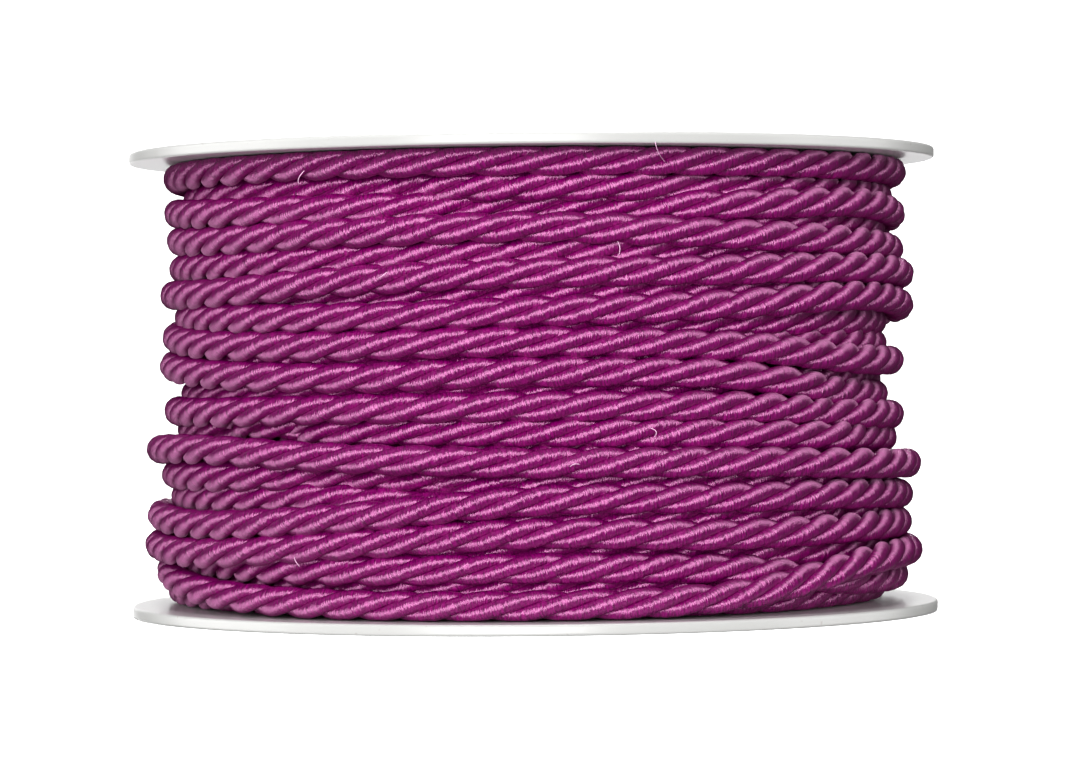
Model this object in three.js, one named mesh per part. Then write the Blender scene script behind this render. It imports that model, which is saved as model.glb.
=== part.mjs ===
// A spool of twisted three-ply satin cord. The winding is one solid: a thick ring whose outer face is
// raised where each turn of the cord lies. It sits on a core between two round moulded flanges.
// Millimetres, +Z up. The origin is the centre of the bottom flange's outer face.
// An azimuth of 0 degrees is the front, towards -Y, and it grows to the right, towards +X.
import * as THREE from "three";

// The spool
const flangeRadius = 55;
const flangeThickness = 1.5;
const flangeEdgeRound = 0.35;
const insideWidth = 60;
const boreRadius = 22;
const coreOuterRadius = 26;
const coreWall = 2;
const spigotLength = 8;
const pieceGap = 0.3;

// The cord, and how closely two turns nest where their plies mesh
const cordRadius = 2;
const nestingDistance = 3.2;

// The lower course, one row a turn from the bottom up: the height of the cord's centre over the front
// left and over the front right. It climbs to the next turn round the back.
const lowerTurns = [
  { left: 3.5, right: 3.5 },
  { left: 6.4, right: 5.6 },
  { left: 10.6, right: 9.4 },
  { left: 14.4, right: 14.4 },
  { left: 18.3, right: 18.3 },
  { left: 22.2, right: 22.6 },
  { left: 26.2, right: 27.0 },
  { left: 30.2, right: 31.8 },
  { left: 34.4, right: 36.4 },
  { left: 38.4, right: 39.4 },
  { left: 43.0, right: 43.2 },
  { left: 47.8, right: 47.6 },
  { left: 52.2, right: 52.2 },
  { left: 56.5, right: 56.5 },
];
const lowerCentreRadius = 46.4;
const lastTurnLift = 1.9;

// The upper course, one row a turn in the order of winding. Each column is the place of the cord's
// centre at the azimuth above it: z is its height and r its distance from the spool's axis.
const azimuths = [-90, -60, -30, 0, 30, 60, 90, 180];
const upperTurns = [
  { z: [59.6, 59.4, 59.5, 59.5, 59.5, 59.5, 59.5, 57.6], r: [48.3, 48.6, 48.9, 49, 49, 49.1, 49.2, 49] },
  { z: [55, 54.1, 54, 54, 54.1, 54.8, 53.7, 52.6], r: [48.3, 48.6, 48, 46.4, 48.4, 49.2, 49, 48.6] },
  { z: [51.2, 50.5, 50.9, 51.3, 50.6, 49.9, 49.1, 48.4], r: [47.9, 48.5, 48.8, 49, 48.9, 48.8, 48.8, 48.2] },
  { z: [47.3, 47.2, 47.6, 48.2, 48.5, 48, 47.4, 45.2], r: [47.7, 47.6, 47.8, 47.2, 46.4, 45.6, 46.4, 48.4] },
  { z: [43.8, 43.6, 44.7, 45.5, 45.8, 46.3, 45.7, 42.2], r: [49, 48.9, 48.7, 48.8, 49, 49.8, 50.2, 49.4] },
  { z: [40.7, 40.3, 40.1, 40.6, 41.3, 42.6, 41.4, 38.8], r: [46.8, 48.2, 48.8, 48.9, 49, 49.8, 50.1, 49.2] },
  { z: [38.2, 36.8, 36.5, 36.8, 36.8, 34.3, 34, 34.8], r: [48.7, 48.9, 49, 49, 49, 48.8, 48.7, 48.9] },
  { z: [34.3, 33, 32.4, 33, 32.5, 29.9, 29.4, 29.6], r: [49.1, 49, 48.9, 49, 48.9, 47.4, 46.4, 48.2] },
  { z: [28, 28, 28.4, 28.6, 28.4, 26.9, 26.4, 25.9], r: [48.5, 48.8, 48.9, 49, 48.9, 48.4, 48.7, 48.6] },
  { z: [25.3, 25.5, 25.5, 25.4, 25.4, 24.5, 23.7, 22], r: [47.2, 46.4, 46.6, 48, 48.6, 48.4, 47.7, 48.2] },
  { z: [19.4, 19.5, 19.9, 18.8, 18.8, 18.4, 17.9, 17.8], r: [48.9, 48.9, 46.8, 46.2, 46, 46, 47.4, 48.2] },
  { z: [16.4, 16.8, 16.8, 15, 14.3, 14.2, 14.2, 11.6], r: [48.3, 47.8, 47.2, 46, 46, 46.4, 47, 47.4] },
  { z: [7.8, 7.8, 7.8, 8.2, 7.6, 5.2, 4.8, 4], r: [47, 46.6, 48.2, 48.9, 47.9, 48, 49.2, 48.8] },
  { z: [3.5, 3.5, 3.5, 3.5, 3.5, 3.5, 3.5, 4.6], r: [48.7, 46.4, 45.6, 45.6, 45.9, 46.3, 46.4, 46.2] },
  { z: [6.4, 4.9, 3.5, 3.5, 4.2, 7.8, 8.3, 8.2], r: [49.8, 49.4, 49, 49, 49.8, 51, 51, 50.4] },
  { z: [9.8, 9.5, 11.1, 12.6, 12, 12.1, 12.1, 12.4], r: [51.4, 50.4, 49.5, 49.2, 49.2, 49.4, 49.7, 50.6] },
  { z: [13.8, 13.2, 14.5, 16.7, 16.7, 16.5, 15.8, 19.6], r: [51.1, 49.9, 49.9, 49.3, 49, 49.3, 49.9, 51.4] },
  { z: [22.7, 23.1, 22.2, 21.5, 21.3, 20.5, 19.9, 18.4], r: [51.1, 50.2, 49.6, 49.3, 49.6, 50.4, 51, 46.5] },
];

// The fineness of the solids
const flangeSegments = 96;
const windingSegments = 60;
const windingRows = 96;

const bottomFace = flangeThickness;
const topFace = flangeThickness + insideWidth;
const overallHeight = insideWidth + 2 * flangeThickness;
const coreInnerRadius = coreOuterRadius - coreWall;
const spigotRadius = coreInnerRadius - pieceGap;

const cordColour = new THREE.MeshStandardMaterial({ color: 0x9c1a80, roughness: 0.45, metalness: 0 });
const flangeColour = new THREE.MeshStandardMaterial({ color: 0xf1f1ee, roughness: 0.2, metalness: 0 });

const smoothStep = (t) => t * t * (3 - 2 * t);

// A lower turn as a row of the same form as an upper one. The last one rises to the upper course.
function lowerRow(turn) {
  const { left, right } = lowerTurns[turn];
  const next = lowerTurns[turn + 1];
  const row = { z: [], r: [] };
  for (const azimuth of azimuths) {
    const across = smoothStep(THREE.MathUtils.clamp((azimuth + 60) / 120, 0, 1));
    const front = THREE.MathUtils.lerp(left, right, across);
    const target = next ? next.left : upperTurns[0].z[0];
    row.z.push(azimuth === 180 ? (right + target) / 2 : front);
    row.r.push(lowerCentreRadius + (next ? 0 : lastTurnLift * across));
  }
  return row;
}

// The whole visible cord as knots: the angle turned so far, the height and the distance from the axis
const rows = [...lowerTurns.keys()].map(lowerRow).concat(upperTurns);
const knots = rows.flatMap((row, turn) =>
  azimuths.map((azimuth, i) => ({ angle: 360 * turn + azimuth, z: row.z[i], r: row.r[i] })),
);

// The slope at a knot, from its two neighbours
function slopeAt(i, key) {
  const before = knots[Math.max(0, i - 1)];
  const after = knots[Math.min(knots.length - 1, i + 1)];
  return (after[key] - before[key]) / (after.angle - before.angle);
}

// A cubic curve through the knots: the cord's height or radius after turning by angle
function along(angle, key) {
  let i = 0;
  while (i < knots.length - 2 && knots[i + 1].angle <= angle) i++;
  const [from, to] = [knots[i], knots[i + 1]];
  const span = to.angle - from.angle;
  const t = THREE.MathUtils.clamp((angle - from.angle) / span, 0, 1);
  const t2 = t * t;
  const t3 = t2 * t;
  return (
    (2 * t3 - 3 * t2 + 1) * from[key] +
    (t3 - 2 * t2 + t) * span * slopeAt(i, key) +
    (3 * t2 - 2 * t3) * to[key] +
    (t3 - t2) * span * slopeAt(i + 1, key)
  );
}

// Where every turn crosses one azimuth. The lower course gives way under what lies on it.
function crossings(azimuth) {
  const cuts = [];
  for (let turn = 0; turn < rows.length; turn++) {
    const angle = 360 * turn + azimuth;
    if (angle > knots.at(-1).angle) break;
    cuts.push({ z: along(angle, "z"), r: along(angle, "r") });
  }
  for (const under of cuts.slice(0, lowerTurns.length)) {
    for (const over of cuts.slice(lowerTurns.length)) {
      const apart = Math.abs(over.z - under.z);
      if (apart < nestingDistance) {
        under.r = Math.min(under.r, over.r - Math.sqrt(nestingDistance ** 2 - apart ** 2));
      }
    }
  }
  return cuts;
}

// The winding's outer radius at a height, over all the turns that cross there
function outerRadius(cuts, height) {
  let radius = lowerCentreRadius;
  for (const cut of cuts) {
    const apart = Math.abs(height - cut.z);
    if (apart < cordRadius) radius = Math.max(radius, cut.r + Math.sqrt(cordRadius ** 2 - apart ** 2));
  }
  return radius;
}

// A turned piece: the outline is a list of [radius, height] that closes on itself
function turned(outline, segments) {
  const closed = [...outline, outline[0]].map(([radius, height]) => new THREE.Vector2(radius, height));
  return new THREE.LatheGeometry(closed, segments);
}

// The wound cord: a plain ring first, whose outer face is then raised to the turns
function windingGeometry() {
  const low = bottomFace + pieceGap;
  const high = topFace - pieceGap;
  const innerRadius = coreOuterRadius + pieceGap;
  const outline = [[innerRadius, low]];
  for (let row = 0; row < windingRows; row++) {
    outline.push([lowerCentreRadius, low + ((high - low) * row) / (windingRows - 1)]);
  }
  outline.push([innerRadius, high]);
  const ring = turned(outline, windingSegments);
  const points = ring.getAttribute("position");
  const rims = new Map();
  for (let i = 0; i < points.count; i++) {
    const [x, height, z] = [points.getX(i), points.getY(i), points.getZ(i)];
    if (Math.hypot(x, z) < innerRadius + 1) continue;
    const step = Math.round((Math.atan2(x, z) / (2 * Math.PI)) * windingSegments);
    let azimuth = (360 * step) / windingSegments;
    if (azimuth < azimuths[0]) azimuth += 360;
    if (!rims.has(azimuth)) rims.set(azimuth, crossings(azimuth));
    const radius = outerRadius(rims.get(azimuth), height);
    const turn = THREE.MathUtils.degToRad(azimuth);
    points.setXYZ(i, radius * Math.sin(turn), height, radius * Math.cos(turn));
  }
  return ring;
}

// A flange: a flat disc with an eased rim, a central hole and a spigot that plugs into the core
function flangeGeometry() {
  const round = flangeEdgeRound;
  return turned(
    [
      [boreRadius, 0],
      [flangeRadius - round, 0],
      [flangeRadius, round],
      [flangeRadius, flangeThickness - round],
      [flangeRadius - round, flangeThickness],
      [spigotRadius, flangeThickness],
      [spigotRadius, flangeThickness + spigotLength],
      [boreRadius, flangeThickness + spigotLength],
    ],
    flangeSegments,
  );
}

function coreGeometry() {
  return turned(
    [
      [coreInnerRadius, bottomFace + pieceGap],
      [coreOuterRadius, bottomFace + pieceGap],
      [coreOuterRadius, topFace - pieceGap],
      [coreInnerRadius, topFace - pieceGap],
    ],
    flangeSegments,
  );
}

// The pieces stand upright: a lathe turns about Y, so each is tipped onto Z, and the top flange is
// the bottom one turned over
function upright(name, geometry, material) {
  const mesh = new THREE.Mesh(geometry, material);
  mesh.name = name;
  mesh.rotation.x = Math.PI / 2;
  return mesh;
}

const spool = new THREE.Group();
spool.add(upright("winding", windingGeometry(), cordColour));
spool.add(upright("core", coreGeometry(), flangeColour));
spool.add(upright("flange_bottom", flangeGeometry(), flangeColour));
const topFlange = upright("flange_top", flangeGeometry(), flangeColour);
topFlange.rotation.x = -Math.PI / 2;
topFlange.position.z = overallHeight;
spool.add(topFlange);

export default spool;
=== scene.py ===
import math

import bpy
import numpy as np
from mathutils import Matrix, Vector


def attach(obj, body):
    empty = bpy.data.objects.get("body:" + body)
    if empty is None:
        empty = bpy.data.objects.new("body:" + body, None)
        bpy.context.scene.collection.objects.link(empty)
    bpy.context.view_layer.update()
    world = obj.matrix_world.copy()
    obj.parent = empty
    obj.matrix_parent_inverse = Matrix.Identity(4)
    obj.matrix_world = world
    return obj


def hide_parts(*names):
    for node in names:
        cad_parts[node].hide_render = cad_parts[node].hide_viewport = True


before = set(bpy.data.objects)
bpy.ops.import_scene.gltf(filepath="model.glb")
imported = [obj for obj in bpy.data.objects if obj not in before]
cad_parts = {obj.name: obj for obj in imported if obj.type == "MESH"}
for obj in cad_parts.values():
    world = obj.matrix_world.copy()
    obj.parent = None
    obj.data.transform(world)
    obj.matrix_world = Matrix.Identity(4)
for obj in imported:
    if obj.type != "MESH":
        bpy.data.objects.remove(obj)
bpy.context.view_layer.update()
scene = bpy.context.scene
mm = 0.001

# The photograph's view: a long lens in front of the spool, a little above half its height
photoWidth = 1069
view = {
    "distance": 598,         # mm from the spool's axis
    "height": 34.6,          # mm above the surface
    "focalPixels": 4357,     # focal length in the photograph's pixels
    "pitchDown": 0.0057,     # radians, and so are the next two
    "turnRight": 0.00023,
    "roll": 0.0093,
    "sensorWidth": 36,
    "clipNear": 0.01,        # metres, and so is the next
    "clipFar": 50,
}


def addCamera():
    data = bpy.data.cameras.new("photoCamera")
    data.sensor_width = view["sensorWidth"]
    data.lens = view["focalPixels"] / photoWidth * view["sensorWidth"]
    data.clip_start = view["clipNear"]
    data.clip_end = view["clipFar"]
    camera = bpy.data.objects.new("photoCamera", data)
    scene.collection.objects.link(camera)
    camera.matrix_world = (
        Matrix.Translation((0, -view["distance"] * mm, view["height"] * mm))
        @ Matrix.Rotation(-view["turnRight"], 4, "Z")
        @ Matrix.Rotation(math.pi / 2 - view["pitchDown"], 4, "X")
        @ Matrix.Rotation(-view["roll"], 4, "Z")
    )
    scene.camera = camera


addCamera()
print("camera placed")


# A web colour in linear light, by the sRGB curve
def linear(hexColour):
    channels = [int(hexColour[i : i + 2], 16) / 255 for i in (1, 3, 5)]
    return [c / 12.92 if c <= 0.04045 else ((c + 0.055) / 1.055) ** 2.4 for c in channels] + [1]


# A node whose inputs are set to values or joined to other nodes' outputs
def addNode(tree, kind, inputs=None, **settings):
    node = tree.nodes.new(kind)
    for name, value in settings.items():
        setattr(node, name, value)
    for name, value in (inputs or {}).items():
        if isinstance(value, bpy.types.NodeSocket):
            tree.links.new(value, node.inputs[name])
        else:
            node.inputs[name].default_value = value
    return node


# A Mix node's colour sockets share their names with others, so they go by their numbers
colourSockets = {"first": 6, "second": 7, "result": 2}


def mixColours(tree, factor, first, second):
    mix = addNode(tree, "ShaderNodeMix", {
        "Factor": factor, colourSockets["first"]: linear(first), colourSockets["second"]: linear(second),
    }, data_type="RGBA")
    return mix.outputs[colourSockets["result"]]


def newMaterial(name):
    material = bpy.data.materials.new(name)
    material.use_nodes = True
    material.node_tree.nodes.clear()
    return material, material.node_tree


# A smooth mesh in place of one of the frame's nodes, in metres
def addPiece(name, points, faces, material, nodeName):
    mesh = bpy.data.meshes.new(name)
    mesh.from_pydata(points, [], faces)
    mesh.polygons.foreach_set("use_smooth", [True] * len(mesh.polygons))
    mesh.materials.append(material)
    mesh.update()
    piece = bpy.data.objects.new(name, mesh)
    scene.collection.objects.link(piece)
    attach(piece, "root")
    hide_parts(nodeName)
    return piece


# Gimped viscose satin: each ply is a cotton heart closely overspun with flat bright filament. The
# filament lies across the ply, so light runs in a long band down each ply, with a combed edge.
satinLooks = {
    # shade and lit are painted shade and painted light: the base colour is darker in the dip beside each
    # filament and lighter on its top
    "shade": "#4e003b",
    "lit": "#840064",
    "glint": "#ffaee2",      # dyed filament tints its own reflection
    "filamentPitch": 0.19,   # mm, coarser than the real 0.1 mm so that it shows
    "filamentLength": 4,     # mm round the ply before one filament dips under the next
    "combLength": 1.4,       # mm, the shorter runs that comb the edge of the light
    "streakDetail": 1.5,
    "streakRoughness": 0.6,
    "combRelief": 0.22,      # mm
    "dipFrom": 0.29,         # share of the pattern's height where a filament is in shade, and out of it
    "dipTo": 0.71,
    "tuftPitch": 0.9,        # mm, filaments that lie together
    "tuftLength": 2.1,       # mm
    "tuftRelief": 0.20,      # mm
    "girth": 6.1,            # mm round a ply, which is one unit of the map's second axis
    "ior": 2.0,
    "specularLevel": 1.0,
    "smoothest": 0.40,       # roughness on top of a filament, and in the dip beside it
    "roughest": 0.48,
    "anisotropy": 1.0,
    "slant": 0.98,           # of a full turn: the filament is wound at a slant to the ply
}


# Streaks that lie across the ply: a length in mm along it, and one round it
def streaks(tree, uv, pitch, length):
    place = addNode(tree, "ShaderNodeMapping", {
        "Vector": uv.outputs["UV"], "Scale": (1 / pitch, satinLooks["girth"] / length, 1),
    })
    return addNode(tree, "ShaderNodeTexNoise", {
        "Vector": place.outputs["Vector"], "Scale": 1,
        "Detail": satinLooks["streakDetail"], "Roughness": satinLooks["streakRoughness"],
    }, noise_dimensions="2D").outputs["Fac"]


def gimpedSatin():
    material, tree = newMaterial("gimpedViscoseSatin")
    uv = addNode(tree, "ShaderNodeUVMap", uv_map="filament")
    filament = streaks(tree, uv, satinLooks["filamentPitch"], satinLooks["filamentLength"])
    comb = streaks(tree, uv, satinLooks["filamentPitch"], satinLooks["combLength"])
    tuft = streaks(tree, uv, satinLooks["tuftPitch"], satinLooks["tuftLength"])
    tuftBump = addNode(tree, "ShaderNodeBump", {
        "Height": tuft, "Strength": 1, "Distance": satinLooks["tuftRelief"] * mm,
    })
    combBump = addNode(tree, "ShaderNodeBump", {
        "Height": comb, "Strength": 1, "Distance": satinLooks["combRelief"] * mm,
        "Normal": tuftBump.outputs["Normal"],
    })
    # Painted shade: the base colour runs from the shaded to the lit copy along the filament lines
    paintedFilamentShade = addNode(tree, "ShaderNodeMapRange", {
        "Value": comb, "From Min": satinLooks["dipFrom"], "From Max": satinLooks["dipTo"],
    })
    colour = mixColours(tree, paintedFilamentShade.outputs["Result"], satinLooks["shade"], satinLooks["lit"])
    gloss = addNode(tree, "ShaderNodeMapRange", {
        "Value": filament, "From Min": satinLooks["dipFrom"], "From Max": satinLooks["dipTo"],
        "To Min": satinLooks["smoothest"], "To Max": satinLooks["roughest"],
    })
    along = addNode(tree, "ShaderNodeTangent", direction_type="UV_MAP", uv_map="filament")
    shader = addNode(tree, "ShaderNodeBsdfPrincipled", {
        "Base Color": colour,
        "Roughness": gloss.outputs["Result"],
        "IOR": satinLooks["ior"],
        "Specular IOR Level": satinLooks["specularLevel"],
        "Specular Tint": linear(satinLooks["glint"]),
        "Anisotropic": satinLooks["anisotropy"],
        "Anisotropic Rotation": satinLooks["slant"],
        "Tangent": along.outputs["Tangent"],
        "Normal": combBump.outputs["Normal"],
    })
    addNode(tree, "ShaderNodeOutputMaterial", {"Surface": shader.outputs["BSDF"]})
    return material


# A single viscose fibre: pale, since so thin a one holds little dye
fibreLooks = {"colour": "#e6b4d6", "roughness": 0.35}


def looseViscose():
    material, tree = newMaterial("looseViscoseFibre")
    shader = addNode(tree, "ShaderNodeBsdfPrincipled", {
        "Base Color": linear(fibreLooks["colour"]), "Roughness": fibreLooks["roughness"],
    })
    addNode(tree, "ShaderNodeOutputMaterial", {"Surface": shader.outputs["BSDF"]})
    return material


# Injection-moulded polystyrene: bright white, glossy, with a faint ripple and dust specks
plasticLooks = {
    "white": "#c9c9c7",
    "speck": "#b9b5b2",
    "ior": 1.59,
    "roughness": 0.28,
    "speckPitch": 1.1,       # mm
    "speckFrom": 0.70,       # share of the pattern's height where a speck begins, and is full
    "speckTo": 0.78,
    "speckDetail": 2,
    "ripplePitch": 9,        # mm
    "rippleDetail": 1,
    "rippleRelief": 0.006,   # mm
    "glow": 0.2,             # share of the light that creeps
    "glowDepth": 0.7,        # mm that light creeps through the thin plate
    "glowSpread": (1, 1, 1),  # as deep for red as for green and blue
}


def mouldedPolystyrene():
    material, tree = newMaterial("injectionMouldedPolystyrene")
    place = addNode(tree, "ShaderNodeTexCoord")
    specks = addNode(tree, "ShaderNodeTexNoise", {
        "Vector": place.outputs["Object"], "Scale": 1 / (plasticLooks["speckPitch"] * mm),
        "Detail": plasticLooks["speckDetail"],
    })
    speckMask = addNode(tree, "ShaderNodeMapRange", {
        "Value": specks.outputs["Fac"],
        "From Min": plasticLooks["speckFrom"], "From Max": plasticLooks["speckTo"],
    })
    colour = mixColours(tree, speckMask.outputs["Result"], plasticLooks["white"], plasticLooks["speck"])
    ripple = addNode(tree, "ShaderNodeTexNoise", {
        "Vector": place.outputs["Object"], "Scale": 1 / (plasticLooks["ripplePitch"] * mm),
        "Detail": plasticLooks["rippleDetail"],
    })
    bump = addNode(tree, "ShaderNodeBump", {
        "Height": ripple.outputs["Fac"], "Strength": 1, "Distance": plasticLooks["rippleRelief"] * mm,
    })
    shader = addNode(tree, "ShaderNodeBsdfPrincipled", {
        "Base Color": colour,
        "Roughness": plasticLooks["roughness"],
        "IOR": plasticLooks["ior"],
        "Subsurface Weight": plasticLooks["glow"],
        "Subsurface Radius": plasticLooks["glowSpread"],
        "Subsurface Scale": plasticLooks["glowDepth"] * mm,
        "Normal": bump.outputs["Normal"],
    })
    addNode(tree, "ShaderNodeOutputMaterial", {"Surface": shader.outputs["BSDF"]})
    return material


# The cord's route. Azimuth 0 is the front and grows to the right; the columns of the upper turns
# are the height z and the distance r from the axis of the cord's centre, in mm, at each azimuth.
backAzimuth = 180
azimuths = [-90, -60, -30, 0, 30, 60, 90, backAzimuth]
lowerTurns = [
    {"left": 3.5, "right": 3.5},
    {"left": 6.4, "right": 5.6},
    {"left": 10.6, "right": 9.4},
    {"left": 14.4, "right": 14.4},
    {"left": 18.3, "right": 18.3},
    {"left": 22.2, "right": 22.6},
    {"left": 26.2, "right": 27.0},
    {"left": 30.2, "right": 31.8},
    {"left": 34.4, "right": 36.4},
    {"left": 38.4, "right": 39.4},
    {"left": 43.0, "right": 43.2},
    {"left": 47.8, "right": 47.6},
    {"left": 52.2, "right": 52.2},
    {"left": 56.5, "right": 56.5},
]
upperTurns = [
    {"z": [59.5, 59.6, 59.7, 59.7, 59.7, 59.7, 59.6, 57.6],
     "r": [48.3, 48.6, 48.9, 49, 49, 49.1, 49.2, 49]},
    {"z": [55, 54.1, 54, 54, 54.1, 54.8, 53.7, 52.6],
     "r": [48.3, 48.6, 48, 46.4, 48.4, 49.2, 49, 48.6]},
    {"z": [51.2, 50.5, 50.9, 51.3, 50.4, 49.7, 49.1, 48.4],
     "r": [47.9, 48.5, 48.8, 49, 48.9, 48.8, 48.8, 48.2]},
    {"z": [47.3, 47.2, 47.6, 48.2, 48.5, 48, 47.4, 45.2],
     "r": [47.7, 47.6, 47.8, 47.2, 46.4, 45.6, 46.4, 48.4]},
    {"z": [43.8, 43.6, 44.7, 45.5, 45.8, 46.3, 45.7, 42.2],
     "r": [49, 48.9, 48.7, 48.8, 49, 49.8, 50.2, 49.4]},
    {"z": [40.7, 40.3, 40.1, 40.6, 41.3, 42.6, 41.4, 38.8],
     "r": [46.8, 48.2, 48.8, 48.9, 49, 49.8, 50.1, 49.2]},
    {"z": [38.2, 36.8, 36.5, 36.8, 36.1, 34.3, 34, 34.8],
     "r": [48.7, 48.9, 49, 49, 49, 48.8, 48.7, 48.9]},
    {"z": [34.3, 33, 32.4, 33, 32.5, 29.9, 29.4, 29.6],
     "r": [49.1, 49, 48.9, 49, 48.9, 47.4, 46.4, 48.2]},
    {"z": [28, 28, 28.4, 28.6, 28.4, 27.1, 26.6, 25.9],
     "r": [48.5, 48.8, 48.9, 49, 48.9, 48.4, 48.7, 48.6]},
    {"z": [25.3, 25.5, 25.5, 25.4, 25, 24.1, 23.5, 22],
     "r": [47.2, 46.4, 46.6, 48, 48.6, 48.4, 47.7, 48.2]},
    {"z": [19.4, 19.5, 19.9, 18.8, 18.8, 18.4, 17.9, 17.8],
     "r": [48.9, 48.9, 46.8, 46.2, 46, 46, 47.4, 48.2]},
    {"z": [16.4, 16.8, 16.8, 15, 14.3, 14.2, 14.2, 14.4],
     "r": [48.3, 47.8, 47.2, 46, 46, 46.4, 47, 47.4]},
    {"z": [7.8, 7.8, 7.8, 8.2, 7.6, 5.2, 4.8, 4],
     "r": [47, 46.6, 48.2, 48.9, 47.9, 48, 49.2, 48.8]},
    {"z": [3.5, 3.5, 3.5, 3.5, 3.5, 3.5, 3.5, 4.6],
     "r": [48.7, 46.4, 45.6, 45.6, 45.9, 46.3, 46.4, 46.2]},
    {"z": [6.4, 4.3, 3.5, 3.5, 4.2, 7.8, 8.3, 8.2],
     "r": [49.8, 49.4, 49, 49, 49.8, 51, 51, 50.4]},
    {"z": [9.8, 9.5, 11.1, 12.6, 12, 12.1, 12.1, 12.4],
     "r": [51.4, 50.4, 49.5, 49.2, 49.2, 49.4, 49.7, 50.6]},
    {"z": [13.8, 13.2, 14.5, 16.7, 16.7, 16.5, 15.8, 19.6],
     "r": [51.1, 49.9, 49.9, 49.3, 49, 49.3, 49.9, 51.4]},
    {"z": [22.7, 23.1, 22.2, 21.5, 21.3, 20.5, 19.9, 18.4],
     "r": [51.1, 50.2, 49.6, 49.3, 49.6, 50.4, 51, 46.5]},
]

# The cord itself, in mm
cordSizes = {
    "layLength": 18.3,
    "plyCount": 3,
    "plyCentre": 1.07,       # from the cord's centre to a ply's
    "plyDeep": 0.96,         # half a ply's thickness
    "plyWide": 1.05,         # half its width, pressed into its neighbours
    "outerShare": 0.4,       # how far a ply's points gather on its outer face, 0 for evenly
    "plateGap": 0.15,        # the plies press flat at this distance from the plates
    "nesting": 3.2,          # how closely two turns lie where their plies mesh
    "lowerCentreRadius": 46.4,
    "driftFrom": -60,        # degrees; a lower turn goes from its left to its right height between these
    "driftTo": 60,
    "lastTurnLift": 1.9,     # how far out the last lower turn climbs on its way to the upper ones
    "twistWander": 0.35,     # radians that the twist runs ahead and behind
    "twistPitch": 90,
    "plumpWander": 0.035,    # share by which a ply swells and thins
    "plumpPitch": 23,
    "softenSteps": 11,       # steps over which a change of depth is eased
    "stepsPerTurn": 240,
    "sides": 12,
}


# An easing from 0 to 1
def smoothStep(t):
    t = min(1, max(0, t))
    return t * t * (3 - 2 * t)


# The heights and distances of a lower turn, in the same form as a row of the upper ones
def lowerRow(turn):
    left, right = lowerTurns[turn]["left"], lowerTurns[turn]["right"]
    last = turn == len(lowerTurns) - 1
    target = upperTurns[0]["z"][0] if last else lowerTurns[turn + 1]["left"]
    driftFrom, driftTo = cordSizes["driftFrom"], cordSizes["driftTo"]
    row = {"z": [], "r": []}
    for azimuth in azimuths:
        share = smoothStep((azimuth - driftFrom) / (driftTo - driftFrom))
        front = left + (right - left) * share
        lift = cordSizes["lastTurnLift"] * share if last else 0
        row["z"].append((right + target) / 2 if azimuth == backAzimuth else front)
        row["r"].append(cordSizes["lowerCentreRadius"] + lift)
    return row


# A cubic curve through the knots, at all the angles at once
def throughKnots(knotAngles, values, angles):
    slopes = np.gradient(values, knotAngles)
    i = np.clip(np.searchsorted(knotAngles, angles, side="right") - 1, 0, len(knotAngles) - 2)
    span = knotAngles[i + 1] - knotAngles[i]
    t = np.clip((angles - knotAngles[i]) / span, 0, 1)
    return (
        (2 * t**3 - 3 * t**2 + 1) * values[i]
        + (t**3 - 2 * t**2 + t) * span * slopes[i]
        + (3 * t**2 - 2 * t**3) * values[i + 1]
        + (t**3 - t**2) * span * slopes[i + 1]
    )


# Where one turn lies over another, the one beneath is pressed in
def pressTurns(heights, radii):
    pressed = radii.copy()
    for over in range(len(radii)):
        for under in range(len(radii)):
            apart = np.abs(heights[over] - heights[under])
            reach = np.sqrt(np.maximum(cordSizes["nesting"] ** 2 - apart**2, 0))
            covered = (radii[over] > radii[under]) & (reach > 0)
            deeper = np.minimum(pressed[under], radii[over] - reach)
            pressed[under] = np.where(covered, deeper, pressed[under])
    return pressed


# The line of the cord's centre, turn after turn, with every change of depth eased
def cordRoute():
    rows = [lowerRow(turn) for turn in range(len(lowerTurns))] + upperTurns
    steps = cordSizes["stepsPerTurn"]
    knotAngles = np.array([360.0 * turn + azimuth for turn in range(len(rows)) for azimuth in azimuths])
    angles = azimuths[0] + np.arange(len(rows) * steps) * 360 / steps
    heights = throughKnots(knotAngles, np.concatenate([row["z"] for row in rows]), angles)
    radii = throughKnots(knotAngles, np.concatenate([row["r"] for row in rows]), angles)
    radii = pressTurns(heights.reshape(-1, steps), radii.reshape(-1, steps)).ravel()
    soften = np.hanning(cordSizes["softenSteps"] + 2)[1:-1]
    radii = np.pad(radii, cordSizes["softenSteps"] // 2, mode="edge")
    radii = np.convolve(radii, soften / soften.sum(), mode="valid")
    used = angles <= knotAngles[-1]
    turned = np.radians(angles[used])
    radii, heights = radii[used], heights[used]
    return np.stack([radii * np.sin(turned), -radii * np.cos(turned), heights], axis=1)


def unit(vectors):
    return vectors / np.linalg.norm(vectors, axis=1, keepdims=True)


# The part of each vector that is square to a direction, at unit length
def across(vectors, direction):
    return unit(vectors - direction * np.sum(vectors * direction, axis=1, keepdims=True))


def lengthAlong(points):
    return np.concatenate([[0], np.cumsum(np.linalg.norm(np.diff(points, axis=0), axis=1))])


# A slow uneven wave between -1 and 1 along the cord, since no twist or ply is quite even. It is two
# sine waves whose lengths never fall into step.
longWaveShare = 0.6
goldenRatio = 1.618


def wander(length, pitch, start):
    turned = 2 * math.pi * length / pitch
    longWave = np.sin(turned + start)
    shortWave = np.sin((turned + 2 * start) * goldenRatio)
    return longWaveShare * longWave + (1 - longWaveShare) * shortWave


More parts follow.
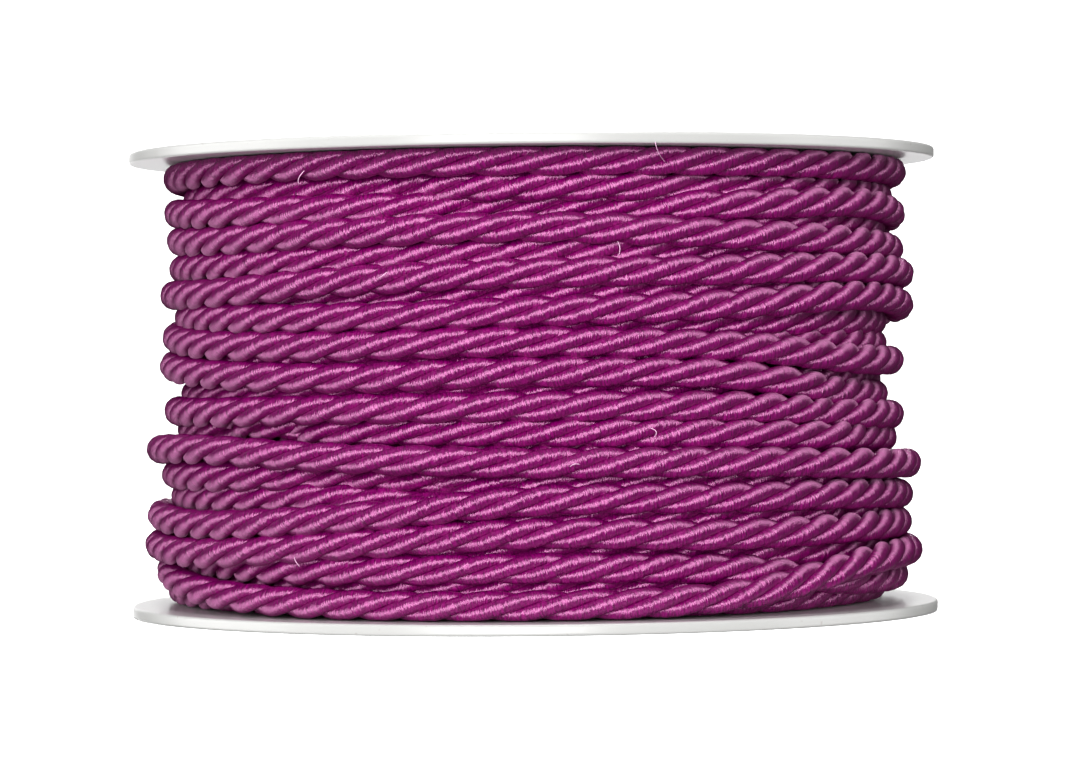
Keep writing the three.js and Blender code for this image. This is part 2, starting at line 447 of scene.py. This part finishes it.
# The way of a ply round the cord: its centres, and from each the ways outward and sideways, longer
# where the ply swells
def plyPath(route, number):
    forward = unit(np.gradient(route, axis=0))
    outward = across(route * [1, 1, 0], forward)
    upward = np.cross(outward, forward)
    length = lengthAlong(route)
    twist = 2 * math.pi * (length / cordSizes["layLength"] + number / cordSizes["plyCount"])
    twist += cordSizes["twistWander"] * wander(length, cordSizes["twistPitch"], 0)
    plump = 1 + cordSizes["plumpWander"] * wander(length, cordSizes["plumpPitch"], number + 1)
    lean = outward * np.cos(twist)[:, None] + upward * np.sin(twist)[:, None]
    centres = route + lean * cordSizes["plyCentre"]
    plyForward = unit(np.gradient(centres, axis=0))
    plyOut = across(lean, plyForward)
    plySide = np.cross(plyForward, plyOut)
    return centres, plyOut * plump[:, None], plySide * plump[:, None]


# The points of a tube, a ring at each centre, whose section has these depths and widths
def tubePoints(centres, outward, sideways, depths, widths):
    rings = (
        centres[:, None, :]
        + depths[None, :, None] * outward[:, None, :]
        + widths[None, :, None] * sideways[:, None, :]
    )
    return rings.reshape(-1, 3)


# The faces of a tube of so many rings, ring after ring, and then its two ends
def tubeFaces(count, sides):
    rings = np.arange(count - 1)[:, None] * sides
    side = np.arange(sides)[None, :]
    nextSide = (side + 1) % sides
    corners = [rings + side, rings + sides + side, rings + sides + nextSide, rings + nextSide]
    faces = np.stack(corners, axis=2).reshape(-1, 4).tolist()
    lastRing = (count - 1) * sides
    return faces + [list(range(sides)), [lastRing + i for i in reversed(range(sides))]]


# The satin's map: mm along the ply, and the share of the way round it
def mapFilament(piece, centres, around):
    along = lengthAlong(centres)
    uvAlong = np.stack([along[:-1], along[1:], along[1:], along[:-1]], axis=1)[:, None, :]
    uvAround = np.stack([around[:-1], around[:-1], around[1:], around[1:]], axis=1)[None, :, :]
    uv = np.stack(np.broadcast_arrays(uvAlong, uvAround), axis=3).reshape(-1, 2)
    loops = np.zeros((len(piece.data.loops), 2))
    loops[: len(uv)] = uv
    layer = piece.data.uv_layers.new(name="filament")
    layer.data.foreach_set("uv", loops.ravel())


def addPly(route, number, material):
    centres, outward, sideways = plyPath(route, number)
    sides = cordSizes["sides"]
    turned = 2 * math.pi * np.arange(sides + 1) / sides
    turned += cordSizes["outerShare"] * np.sin(turned)
    depths = -cordSizes["plyDeep"] * np.cos(turned[:-1])
    widths = -cordSizes["plyWide"] * np.sin(turned[:-1])
    points = tubePoints(centres, outward, sideways, depths, widths)
    lowest = spoolSizes["flangeThickness"] + cordSizes["plateGap"]
    points[:, 2] = np.clip(points[:, 2], lowest, spoolSizes["height"] - lowest)
    points = (points * mm).tolist()
    faces = tubeFaces(len(route), sides)
    piece = addPiece(f"cord_ply_{number + 1}", points, faces, material, "winding")
    mapFilament(piece, centres, turned / (2 * math.pi))
    return piece


# A round piece from its outline, a list of (radius, height) in mm that closes on itself. Corners
# sharper than a rounded edge's facets stay crisp, so that flat faces look flat.
crispAngle = math.radians(40)


def addTurned(name, outline, segments, material, nodeName):
    points, faces = [], []
    for step in range(segments):
        turned = 2 * math.pi * step / segments
        points += [(r * math.cos(turned) * mm, r * math.sin(turned) * mm, z * mm) for r, z in outline]
    count = len(outline)
    for step in range(segments):
        here, there = step * count, (step + 1) % segments * count
        for i in range(count):
            j = (i + 1) % count
            faces.append((here + i, there + i, there + j, here + j))
    piece = addPiece(name, points, faces, material, nodeName)
    piece.data.set_sharp_from_angle(angle=crispAngle)
    return piece


# The spool, in mm
spoolSizes = {
    "flangeRadius": 55,
    "flangeThickness": 1.5,
    "edgeRound": 0.4,
    "boreRound": 0.3,
    "edgeSteps": 6,
    "flatRing": 0.4,         # a narrow ring beside each rounding keeps the rest of the plate flat
    "height": 63,
    "boreRadius": 22,
    "coreOuterRadius": 26,
    "coreWall": 2,
    "spigotLength": 8,
    "gap": 0.3,
    "segments": 256,
}


# A quarter of a circle, from the angle at which it starts
def quarter(radius, height, rounding, start):
    steps = spoolSizes["edgeSteps"]
    turned = [start + math.pi / 2 * step / steps for step in range(steps + 1)]
    return [(radius + rounding * math.cos(a), height + rounding * math.sin(a)) for a in turned]


def flangeOutline(flip):
    sizes = spoolSizes
    edge, rounding, thick = sizes["flangeRadius"], sizes["edgeRound"], sizes["flangeThickness"]
    flat = edge - rounding - sizes["flatRing"]
    spigotRadius = sizes["coreOuterRadius"] - sizes["coreWall"] - sizes["gap"]
    spigotEnd = thick + sizes["spigotLength"]
    boreRadius, boreRound = sizes["boreRadius"], sizes["boreRound"]
    outline = quarter(boreRadius + boreRound, boreRound, boreRound, math.pi)
    outline += [(boreRadius + boreRound + sizes["flatRing"], 0), (flat, 0)]
    outline += quarter(edge - rounding, rounding, rounding, -math.pi / 2)
    outline += quarter(edge - rounding, thick - rounding, rounding, 0)
    outline += [(flat, thick), (spigotRadius, thick), (spigotRadius, spigotEnd), (boreRadius, spigotEnd)]
    if flip:
        outline = [(r, sizes["height"] - z) for r, z in reversed(outline)]
    return outline


def addSpool(material):
    sizes = spoolSizes
    segments = sizes["segments"]
    flanges = [
        addTurned("moulded_" + node, flangeOutline(flip), segments, material, node)
        for node, flip in (("flange_bottom", False), ("flange_top", True))
    ]
    inner = sizes["coreOuterRadius"] - sizes["coreWall"]
    low = sizes["flangeThickness"] + sizes["gap"]
    high = sizes["height"] - low
    outer = sizes["coreOuterRadius"]
    tube = [(inner, low), (outer, low), (outer, high), (inner, high)]
    return flanges + [addTurned("moulded_core", tube, segments, material, "core")]


# Loose fibres that stand off the cord. Each has three points on its way, given as azimuth in
# degrees, distance from the axis and height in mm.
fibreSizes = {"radius": 0.055, "sides": 5, "steps": 12}
looseFibres = [
    [(16.4, 55.0, 61.6), (17.2, 54.0, 60.3), (19.2, 51.5, 59.2)],
    [(-34.2, 51.5, 58.9), (-34.9, 51.9, 57.9), (-35.2, 51.4, 57.2)],
    [(12.1, 51.2, 49.3), (12.3, 51.7, 48.4), (12.2, 51.2, 47.5)],
    [(-21.0, 51.2, 45.8), (-21.5, 51.7, 45.3), (-22.3, 51.4, 45.0)],
    [(16.6, 51.2, 25.8), (17.3, 51.8, 25.3), (17.1, 51.3, 24.6)],
    [(-36.0, 51.2, 8.4), (-36.3, 51.7, 9.1), (-36.8, 51.3, 9.6)],
    [(5.0, 51.2, 21.0), (5.6, 51.6, 21.4), (6.4, 51.3, 21.3)],
    [(100.0, 51.2, 30.0), (101.0, 51.8, 31.0), (102.0, 51.4, 31.6)],
    [(150.0, 51.2, 50.0), (150.8, 51.8, 49.2), (152.0, 51.4, 48.8)],
    [(-120.0, 51.2, 20.0), (-120.8, 51.8, 21.0), (-122.0, 51.4, 21.4)],
]


# A curve that starts at the first point, passes the second and ends at the third
def curvePast(points, steps):
    start, middle, end = points
    bend = 2 * middle - (start + end) / 2
    t = np.linspace(0, 1, steps)[:, None]
    return (1 - t) ** 2 * start + 2 * t * (1 - t) * bend + t**2 * end


def addFibres(material):
    points, faces = [], []
    sides, steps = fibreSizes["sides"], fibreSizes["steps"]
    angles = 2 * math.pi * np.arange(sides) / sides
    depths, widths = fibreSizes["radius"] * np.cos(angles), fibreSizes["radius"] * np.sin(angles)
    for fibre in looseFibres:
        turned, radii, heights = np.array(fibre).T
        turned = np.radians(turned)
        knots = np.stack([radii * np.sin(turned), -radii * np.cos(turned), heights], axis=1)
        path = curvePast(knots, steps)
        forward = unit(np.gradient(path, axis=0))
        outward = across(path * [1, 1, 0], forward)
        upward = np.cross(outward, forward)
        faces += [[len(points) + corner for corner in face] for face in tubeFaces(steps, sides)]
        points += (tubePoints(path, outward, upward, depths, widths) * mm).tolist()
    return addPiece("loose_fibres", points, faces, material, "winding")


# The turns further in, in mm, seen only as the dark bed behind the gaps
bedSizes = {
    "outerRadius": 43.6,
    "plateGap": 0.4,
    "firstRidge": 3.3,
    "ridgePitch": 4,
    "ridgeRise": 1.6,
    "ridgeCount": 14,
    "ridgeSteps": 6,
    "segments": 128,
}


def addBed(material):
    sizes = bedSizes
    innerRadius = spoolSizes["coreOuterRadius"] + spoolSizes["gap"]
    low = spoolSizes["flangeThickness"] + sizes["plateGap"]
    high = spoolSizes["height"] - low
    outline = [(innerRadius, low)]
    for ridge in range(sizes["ridgeCount"]):
        for step in range(sizes["ridgeSteps"]):
            share = step / sizes["ridgeSteps"]
            radius = sizes["outerRadius"] + sizes["ridgeRise"] * math.sin(math.pi * share)
            outline.append((radius, sizes["firstRidge"] + sizes["ridgePitch"] * (ridge + share)))
    outline += [(sizes["outerRadius"], high), (innerRadius, high)]
    return addTurned("inner_turns", outline, sizes["segments"], material, "winding")


# A pale paper sweep, which is floor and backdrop in one, and soft studio light. Each light has its
# place and aim in metres, its size in metres and its power in watts. The softboxes light the cord,
# the glows light the spool and the sweep light lights the paper.
studio = {
    "paper": "#f7f7f7",
    "sweepWidth": 10,
    "sweepFront": -8,
    "sweepBack": 2.2,
    "sweepRise": 4,
    "sweepCurve": 1.2,
    "curveSteps": 16,
    "skyStrength": 0.1,
    "lights": {
        "frontSoftbox": {"place": (-0.1, -1.1, 0.27), "aim": (0, 0, 0.03), "size": 0.9, "power": 27},
        "backSoftbox": {"place": (0.0, 1.1, 0.4), "aim": (0, 0, 0.03), "size": 0.4, "power": 13},
        "topSoftbox": {"place": (0.0, 0.0, 1.4), "aim": (0, 0, 0), "size": 0.8, "power": 4},
        "sweepLight": {"place": (0.0, -1.0, 3.2), "aim": (0, 0.8, 0), "size": 2.5, "power": 400},
        "topGlow": {"place": (0.0, 0.0, 1.4), "aim": (0, 0, 0), "size": 0.8, "power": 19},
        "frontGlow": {"place": (-0.15, -1.1, 0.03), "aim": (0, 0, 0.03), "size": 0.9, "power": 17.5},
        "backGlow": {"place": (-0.1, 1.1, 0.03), "aim": (0, 0, 0.03), "size": 0.8, "power": 3},
        "leftGlow": {"place": (-1.1, 0.1, 0.03), "aim": (0, 0, 0.03), "size": 1.0, "power": 8},
        "rightGlow": {"place": (1.1, 0.1, 0.03), "aim": (0, 0, 0.03), "size": 1.0, "power": 6},
    },
}


def addSweep():
    curve, back = studio["sweepCurve"], studio["sweepBack"]
    profile = [(studio["sweepFront"], 0)]
    for step in range(studio["curveSteps"] + 1):
        turned = math.pi / 2 * step / studio["curveSteps"]
        profile.append((back - curve + curve * math.sin(turned), curve - curve * math.cos(turned)))
    profile.append((back, studio["sweepRise"]))
    half = studio["sweepWidth"] / 2
    points = [(x, y, z) for x in (-half, half) for y, z in profile]
    count = len(profile)
    faces = [(i, count + i, count + i + 1, i + 1) for i in range(count - 1)]
    mesh = bpy.data.meshes.new("paper_sweep")
    mesh.from_pydata(points, [], faces)
    mesh.polygons.foreach_set("use_smooth", [True] * len(faces))
    sweep = bpy.data.objects.new("paper_sweep", mesh)
    scene.collection.objects.link(sweep)
    material, tree = newMaterial("mattPaper")
    shader = addNode(tree, "ShaderNodeBsdfDiffuse", {"Color": linear(studio["paper"])})
    addNode(tree, "ShaderNodeOutputMaterial", {"Surface": shader.outputs["BSDF"]})
    mesh.materials.append(material)
    sweep.visible_diffuse = False    # its white doesn't spill onto the satin
    sweep.visible_glossy = False
    sweep.visible_shadow = False     # a lit table lets the lower half of the front light through
    return sweep


# Some lights reach only some pieces, as black cards do in a studio
def linkLight(lamp, pieces):
    receivers = bpy.data.collections.new(lamp.name + "Receivers")
    for piece in pieces:
        receivers.objects.link(piece)
    lamp.light_linking.receiver_collection = receivers


def addLights(sweep, spool, cord):
    world = bpy.data.worlds.new("studio")
    world.use_nodes = True
    sky = world.node_tree.nodes["Background"]
    sky.inputs["Color"].default_value = (1, 1, 1, 1)
    sky.inputs["Strength"].default_value = studio["skyStrength"]
    scene.world = world
    for name, light in studio["lights"].items():
        data = bpy.data.lights.new(name, "AREA")
        data.shape = "SQUARE"
        data.size = light["size"]
        data.energy = light["power"]
        lamp = bpy.data.objects.new(name, data)
        scene.collection.objects.link(lamp)
        lamp.location = light["place"]
        lamp.rotation_euler = (Vector(light["aim"]) - lamp.location).to_track_quat("-Z", "Y").to_euler()
        if name.endswith("Softbox"):
            linkLight(lamp, cord)
        elif name.endswith("Glow"):
            linkLight(lamp, spool)
        else:
            linkLight(lamp, [sweep])


satin = gimpedSatin()
plastic = mouldedPolystyrene()
route = cordRoute()
print("cord route", round(lengthAlong(route)[-1] / 1000, 2), "m shown")
cord = [addPly(route, number, satin) for number in range(cordSizes["plyCount"])]
cord.append(addBed(satin))
cord.append(addFibres(looseViscose()))
print("plies twisted")
spool = addSpool(plastic)
print("spool turned")
addLights(addSweep(), spool, cord)
scene.view_settings.view_transform = "Standard"
print("studio lit")
